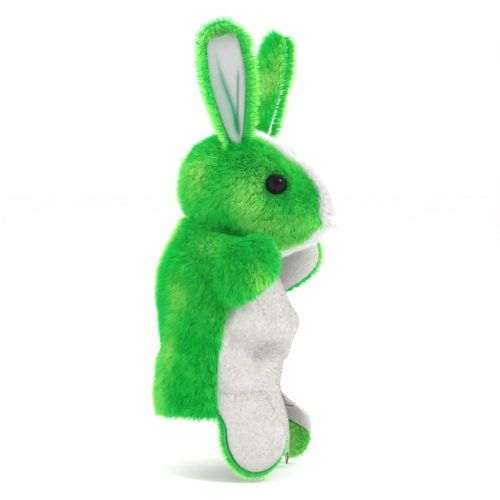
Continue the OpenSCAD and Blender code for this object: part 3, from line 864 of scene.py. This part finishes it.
def arm_pieces():
    for name, side in SIDES.items():
        zone = arm_zone(name)
        fs = arm_root_f + (arm_f + arm_length - arm_root_f) * np.sin(np.linspace(0, 0.999, 44) * np.pi / 2)
        for part, lo, hi, slot in (("outer", -96, 96, "green_plush"), ("inner", 96, 264, "white_velboa")):
            start = 0 if part == "outer" else 16
            f = fs[start:]
            a = np.linspace(lo, hi, 30)
            f, a = np.meshgrid(f, a, indexing="ij")
            p = arm_pt(f, a, side, pile_inset - 0.5 if part == "outer" else 0.6)
            middle = (arm_pt(f, np.zeros(f.shape), side, 0) + arm_pt(f, np.full(f.shape, 180.0), side, 0)) / 2
            middle[..., 1] = np.minimum(middle[..., 1], 44)
            n = facing(p, grid_normals(p), middle)
            cloth = [backing, lining] if part == "outer" else [velboa, lining]
            skin = shell("arm_%s_cloth_%s" % (part, name), zone, p, 1.2, cloth, n)
            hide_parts("arm_%s_%s" % (part, name))
            if part == "outer":
                rim = 0.62 if side == RIGHT else 0.15
                fur("arm_pile_" + name, zone, [(p, n)], length=7.5, lean=0.85, tone=body_painted_light,
                    flow=lambda p, n: np.tile([0, 0.5, -0.9], (len(p), 1)), seed=100 + side,
                    scale=lambda p: mix(rim, 1, ramp(np.abs(p[:, 0]), 44, 51)))
            else:
                nap_fur("arm_inner_pile_" + name, zone, (p, n), 104 + side)


# ---- legs ----
def leg_outward(side):
    """Pile that points out from the leg's middle, towards its rim and the ground."""
    middle = np.array([side * leg_centre[0], leg_centre[1], 34.0])
    return lambda p, n: unit(p - middle) + np.array([0, 0, -0.2])


def leg_zone(name):
    """The stretch of a leg between the body and the leg."""
    return "body", "leg_" + name, (0, 0, 68), (0, 0, 46)


def leg_pieces():
    for name, side in SIDES.items():
        zone = leg_zone(name)
        ts = np.linspace(0.0, 0.995, 60)
        u = np.linspace(0, 1, 48)
        for part in ("front", "back"):
            low = -leg_wrap(ts) if part == "front" else np.full(len(ts), 170.0)
            high = np.full(len(ts), 183.0) if part == "front" else 366 - leg_wrap(ts)
            t, _ = np.meshgrid(ts, u, indexing="ij")
            a = low[:, None] + (high - low)[:, None] * u
            front = part == "front"
            p = leg_pt(t, a, side, 0.4 if front else 1.2, 0.0 if front else 3.0, 0.6 if front else 4.5)
            mid = leg_pt(t, np.full(t.shape, 90.0), side, 7.4, 0.0, 6.0)
            n = facing(p, grid_normals(p), mid)
            cloth = [velboa, velboa] if front else [backing, backing]
            skin = shell("leg_%s_cloth_%s" % (part, name), zone, p, 1.0, cloth, n)
            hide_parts("leg_%s_%s" % (part, name))
            if front:
                nap_fur("leg_front_pile_" + name, zone, (p, n), 110 + side)
            else:
                fur("leg_back_pile_" + name, zone, [(p, n)], length=5.0, lean=1.1, spacing=0.42,
                    flow=leg_outward(side), tone=lambda p, n: 0.75, tuft=4.0, seed=114 + side,
                    keep=lambda p: p[:, 2] < 54, scale=lambda p: 1 - 0.6 * ramp(p[:, 1], 40, 52))


# ---- hem ----
def tubes(paths, radius, sides=6):
    """Points and quads of round threads along paths, each a list of points in millimetres."""
    points, quads = [], []
    for path in paths:
        path = np.asarray(path, float)
        along_it = unit(np.gradient(path, axis=0))
        first = unit(np.cross(along_it, [0.3, 0.5, 0.81]))
        second = np.cross(along_it, first)
        turn = 2 * np.pi * np.arange(sides) / sides
        ring = first[:, None] * np.cos(turn)[:, None] + second[:, None] * np.sin(turn)[:, None]
        start = sum(len(q) for q in points)
        points.append((path[:, None] + radius * ring).reshape(-1, 3))
        quads.append(grid_quads(len(path), sides, close=True) + start)
    return np.concatenate(points), np.concatenate(quads)


def thread_piece(name, body, paths, radius, look):
    points, quads = tubes(paths, radius)
    return add_piece(name, body, points, quads.ravel(), np.arange(len(quads)) * 4, [look], None)


def hem_pt(a, v, inset):
    """A point of the hem: v = 0 is its lower edge and 1 its upper."""
    p = body_pt(np.full(np.shape(a), 30.0), a, inset)
    p[..., 2] = 17 + 9 * v - hem_arch * a * a
    return p


def hem_pieces():
    """The overlocked edge along the front of the opening, with its slanting stitches."""
    a, v = np.meshgrid(np.linspace(-hem_half_angle, hem_half_angle, 90), np.linspace(0, 1, 8))
    p = hem_pt(a, v, 1.0)
    p = p + 0.4 * wobble(p, 14, 3)[..., None] * unit(p * [1, 1, 0])
    n = facing(p, grid_normals(p), p * [0.5, 0.5, 1])
    band = shell("front_hem_band", "body", p, 1.2, [hem_cloth, hem_cloth], n)
    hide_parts("front_hem")
    slant, count = 2.2, 54
    stitches = []
    for k in range(count):
        start = -hem_half_angle + (2 * hem_half_angle - 2) * k / count
        line = np.linspace(0, 1, 5)
        stitches.append(hem_pt(start + slant * line, 0.02 + 0.9 * line, 0.75))
    thread_piece("front_hem_stitches", "body", stitches, 0.36, green_thread)
    edge = hem_pt(np.linspace(-hem_half_angle, hem_half_angle, 80), np.full(80, 0.02), 1.2)
    thread_piece("front_hem_edge", "body", [edge], 0.6, dark_thread)
    top = hem_pt(np.linspace(-29, 29, 80), np.full(80, 1.0), 0.9)
    thread_piece("front_hem_seam", "body", [top], 0.4, green_thread)


# ---- ears ----
def ear_pieces():
    for name, side in SIDES.items():
        zone = ("head", "ear_" + name, tuple(ear_pt(side, -12, 0, 0)), tuple(ear_pt(side, 6, 0, 0)))
        hs = -16 + (ear_length + 15.9) * np.sin(np.linspace(0, 1, 50) * np.pi / 2)
        half = ear_wide(hs)
        u = np.linspace(-1, 1, 26)
        x = half[:, None] * u
        h = np.broadcast_to(hs[:, None], x.shape)
        back = ear_pt(side, h, x, -2.4)
        n = facing(back, grid_normals(back), ear_pt(side, h, 0 * x, 12))
        skin = shell("ear_plush_" + name, zone, back, -1.6, [backing, backing], n)
        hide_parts("ear_back_" + name)

        def outward(p, n, side=side):
            """Ear pile points up the ear and out over its rim."""
            up, w, _ = (v * np.array([1, -1, 1]) for v in ear_frame(side))
            rel = p - ear_base * np.array([side, 1, 1])
            across = rel @ w
            return up * 0.55 + w * (across / 12)[:, None]

        rim_u = np.linspace(0.7, 1.0, 8)
        rims = []
        for s in (-1, 1):
            xr = half[:, None] * rim_u * s
            hr = np.broadcast_to(hs[:, None], xr.shape)
            pr = ear_pt(side, hr, xr, 0.7)
            nr = -facing(pr, grid_normals(pr), ear_pt(side, hr, 0 * xr, 12))
            edge = unit(pr - ear_pt(side, hr, 0 * xr, -6))
            rims.append((pr, unit(nr * 0.35 + edge)))
        tip_h = np.linspace(ear_length - 9, ear_length - 0.4, 12)[:, None]
        tip_x = np.linspace(-0.98, 0.98, 26) * ear_wide(tip_h)
        tip = ear_pt(side, tip_h, tip_x, 0.5)
        rims.append((tip, facing(tip, grid_normals(tip), ear_pt(side, tip_h, 0 * tip_x, -12))))
        fur("ear_pile_" + name, zone, [(back, n)], length=7.0, lean=1.1, flow=outward,
            tone=lambda p, n: 0.1, seed=120 + side)
        # The rim pile takes lighter shades: painted light on the ear's lit border.
        fur("ear_rim_pile_" + name, zone, rims, length=7.0, lean=0.5, flow=outward, tuft=3.5,
            spacing=0.5, tone=lambda p, n: 0.4, seed=124 + side)
        ear_lining(name, side, zone)


def ear_lining(name, side, zone):
    """Satin gathered at the foot of the ear: two pinched folds run up from a point."""
    hs = -17 + 90.0 * np.sin(np.linspace(0, 1, 100) * np.pi / 2)
    wide_keys = [(-17, 0.4), (-8, 3.4), (4, 6.5), (20, 9.6), (38, 12.3), (52, 12.5), (62, 11.6), (73, 11.4)]
    half = along(hs, wide_keys) * bulge(hs - 62, 11.1)
    u = np.linspace(-1, 1, 71)
    x = half[:, None] * u
    h = np.broadcast_to(hs[:, None], x.shape)
    ahead = -side * x  # towards the puppet's face
    fade = ramp(h, -12, 6)
    first = ahead - (2 - 9 * ramp(h, 2, 66))
    second = ahead - (2.6 + 5.4 * ramp(h, 4, 52))
    valley_a = np.where(first < 0, np.exp(first / 6.0), np.exp(-first / 1.3)) * fade * ramp(68 - h, 0, 36)
    valley_b = np.where(second < 0, np.exp(second / 1.6), np.exp(-second / 0.8)) * fade * ramp(52 - h, 0, 16)
    swell = 1.8 * (1 - u[None, :] ** 2) * ramp(h, -10, 20) * ramp(72 - h, 0, 16)
    p = ear_pt(side, h, x, -0.6 + 1.9 * (1 - u[None, :] ** 4) + swell - 3.0 * valley_a - 2.2 * valley_b)
    n = facing(p, grid_normals(p), ear_pt(side, h, 0 * x, -30))
    piece = shell("ear_satin_" + name, zone, p, 0.5, [satin, backing], n)
    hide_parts("ear_lining_" + name)
    # fold holds the painted shade of the fold valleys, deepest along the two pinched lines
    shade = piece.data.attributes.new("fold", "FLOAT", "POINT")
    value = np.clip(0.9 * valley_a + 0.8 * valley_b, 0, 1) ** 1.4
    shade.data.foreach_set("value", np.tile(value.ravel(), 2).astype(np.float32))


# ---- eyes ----
def eye_pieces():
    """A glossy dome with a dark iris, standing in a thin collar."""
    spot_angle = angle_at(np.array(eye_f), eye_z)
    for name, side in SIDES.items():
        spot = head_pt(np.array(eye_f), spot_angle, side, 0)
        out = np.array([side * cosd(24) * sind(75), sind(24) * sind(75), cosd(75)])
        first = unit(np.cross(out, [0, 0, 1.0]))
        second = np.cross(first, out)
        turn = np.linspace(90, 0, 18)
        foot = [(2.4, -9.0), (2.4, -0.6), (7.2, -0.5), (7.55, -0.1), (7.55, 0.5), (7.3, 0.9), (7.02, 1.0)]
        dome = [(7 * sind(a), 1.1 + 5.6 * cosd(a)) for a in turn]
        profile = np.array(foot + dome[:-1] + [(0.02, 6.7)])
        spin = np.radians(np.arange(0, 360, 6))
        r, d = profile[:, 0][:, None, None], profile[:, 1][:, None, None]
        ring = first * np.cos(spin)[:, None] + second * np.sin(spin)[:, None]
        p = spot + r * ring + d * out
        quads = grid_quads(len(profile), len(spin), close=True)
        radius = np.repeat(profile[:-1, 0], len(spin))
        level = np.repeat(profile[:-1, 1], len(spin))
        index = np.where(level < 1.05, 0, np.where(radius > 5.6, 0, np.where(radius > 2.9, 1, 2)))
        piece = add_piece("eye_dome_" + name, "head", p.reshape(-1, 3), quads.ravel(),
                          np.arange(len(quads)) * 4, [eye_gloss, eye_iris, eye_pupil], index)
        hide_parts("eye_" + name)


# ---- stuffing ----
def wad(name, node, body, rings, detail=0.8):
    """A tousled wad of fibre that fills the rings, with its two ends drawn in."""
    rings = np.asarray(rings, float)
    rows, cols = rings.shape[:2]
    mid = rings.mean(1, keepdims=True)
    rough = detail * (wobble(rings, 7, 41) + 0.6 * wobble(rings, 3, 42))
    rings = rings + unit(rings - mid) * (rough - detail)[..., None]
    points = np.concatenate([rings.reshape(-1, 3), mid[0], mid[-1]])
    quads = grid_quads(rows, cols, close=True)
    j = np.arange(cols)
    last = (rows - 1) * cols
    ends = np.concatenate([np.stack([(j + 1) % cols, j, np.full(cols, rows * cols)], 1),
                           np.stack([last + j, last + (j + 1) % cols, np.full(cols, rows * cols + 1)], 1)])
    loops = np.concatenate([quads.ravel(), ends.ravel()])
    starts = np.concatenate([np.arange(len(quads)) * 4, 4 * len(quads) + np.arange(len(ends)) * 3])
    piece = add_piece(name, body, points, loops, starts, [stuffing], None)
    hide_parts(node)


def stuffing_pieces():
    turn = np.linspace(0, 360, 48, endpoint=False)
    for name, side in SIDES.items():
        t, a = np.meshgrid(np.linspace(0.42, 0.93, 30), turn, indexing="ij")
        wad("leg_wad_" + name, "leg_stuffing_" + name, leg_zone(name), leg_pt(t, a, side, 2.6, 0.0, 5.5))
        f, a = np.meshgrid(np.linspace(34, 55, 30), turn, indexing="ij")
        wad("arm_wad_" + name, "arm_stuffing_" + name, arm_zone(name), arm_pt(f, a, side, 3.6))
    f, a = np.meshgrid(np.linspace(-24, 42, 50), np.linspace(5, 175, 60), indexing="ij")
    outer, inner = head_pt(f, a, LEFT, 5.0), head_pt(f, a[:, ::-1], LEFT, 12.5)
    wad("head_wad", "head_stuffing", "head", np.concatenate([outer, inner], 1), 0.5)
    f = np.linspace(71.8, 79.5, 14)
    low = angle_at(f, mouth_z(f) + 3.7) + 8
    a = low[:, None] + (180 - 2 * low)[:, None] * np.linspace(0, 1, 40)
    wad("muzzle_wad", "muzzle_stuffing", "head", head_pt(np.broadcast_to(f[:, None], a.shape), a, LEFT, 4.0),
        0.3)


# ---- carried-over solids ----
def dress_cad_nodes():
    looks = {
        "eye_washers": washer,
        "neck_sleeve": lining, "finger_pocket": lining, "thumb_pocket": lining,
        "upper_mouth_lining": felt, "lower_mouth_lining": felt,
        "upper_mouth_plate": board, "lower_mouth_plate": board}
    for node, look in looks.items():
        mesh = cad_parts[node].data
        mesh.materials.clear()
        mesh.materials.append(look)


# ---- stage ----
def stage():
    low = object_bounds()[0].z
    mesh = bpy.data.meshes.new("floor")
    r, n = 12.0, 64
    turn = [2 * math.pi * i / n for i in range(n)]
    ring = [(r * math.cos(a), r * math.sin(a), low - 0.0005) for a in turn]
    mesh.from_pydata(ring, [], [list(range(n))])
    floor = bpy.data.objects.new("floor", mesh)
    bpy.context.scene.collection.objects.link(floor)
    m, tree, shader = material("floor_paper", Roughness=0.9)
    noise_colour(tree, shader, (0.98, 0.98, 0.98, 1), (0.99, 0.99, 0.99, 1), 3)
    mesh.materials.append(m)
    floor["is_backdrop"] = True

    world = bpy.data.worlds.new("studio")
    bpy.context.scene.world = world
    world.use_nodes = True
    world.node_tree.nodes["Background"].inputs["Color"].default_value = (1, 1, 1, 1)
    world.node_tree.nodes["Background"].inputs["Strength"].default_value = 1.0

    def lamp(name, place, power, size):
        light = bpy.data.lights.new(name, "AREA")
        light.energy, light.size = power, size
        o = bpy.data.objects.new(name, light)
        o.location = place
        o.rotation_euler = (Vector(camera_target) - Vector(place)).to_track_quat("-Z", "Y").to_euler()
        bpy.context.scene.collection.objects.link(o)

    lamp("key", (-0.5, -1.5, 1.5), 20, 0.6)
    lamp("fill", (-1.2, 0.9, 0.5), 4, 1.0)
    lamp("back_light", (0.9, 1.0, 1.1), 12, 0.9)


def camera():
    data = bpy.data.cameras.new("camera")
    data.lens = camera_lens
    o = bpy.data.objects.new("camera", data)
    o.location = camera_place
    o.rotation_euler = (Vector(camera_target) - Vector(camera_place)).to_track_quat("-Z", "Y").to_euler()
    bpy.context.scene.collection.objects.link(o)
    bpy.context.scene.camera = o
    bpy.context.scene.view_settings.view_transform = "Standard"


camera()
head_pieces()
jaw_pieces()
throat_pieces()
body_pieces()
belly_piece()
arm_pieces()
leg_pieces()
ear_pieces()
eye_pieces()
hem_pieces()
stuffing_pieces()
dress_cad_nodes()
stage()
